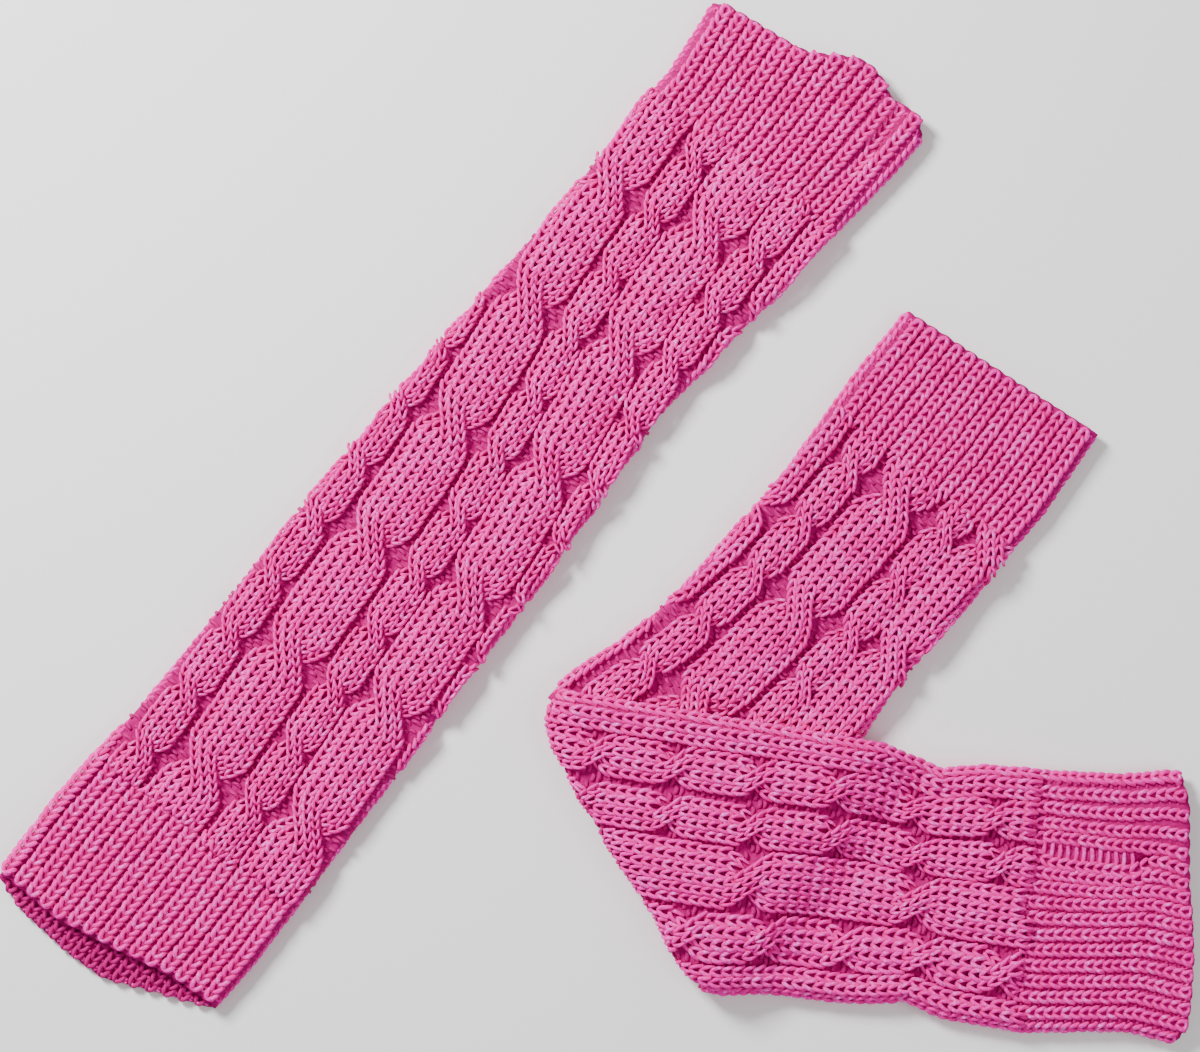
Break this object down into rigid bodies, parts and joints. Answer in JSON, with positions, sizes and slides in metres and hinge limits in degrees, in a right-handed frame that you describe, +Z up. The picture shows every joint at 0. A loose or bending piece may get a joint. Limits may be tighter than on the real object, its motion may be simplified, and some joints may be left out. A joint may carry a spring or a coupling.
{
  "type": "pair of knitted fingerless gloves",
  "caption": "Pair of long cable-knitted fingerless gloves with ribbed cuffs, lying flat, one straight and one folded over itself.",
  "frame": {"origin": "on the surface that the pair lies on, below the middle of the whole pair's box", "axes": "+Z up out of the surface, +X to the right of the pair as seen from above, +Y away from the viewer"},
  "size_m": [0.4072, 0.3548, 0.0154],
  "materials": {
    "yarn_cable": "thick soft pink yarn, cable knit",
    "yarn_rib": "thick soft pink yarn, one by one rib"
  },
  "bodies": {
    "root": {"straight_arm_cuff": "yarn_rib", "straight_cable_body": "yarn_cable", "straight_hand_cuff": "yarn_rib", "folded_arm_cuff": "yarn_rib", "folded_under_stretch": "yarn_cable", "folded_over_stretch": "yarn_cable", "folded_hand_cuff": "yarn_rib"}
  },
  "joints": []
}
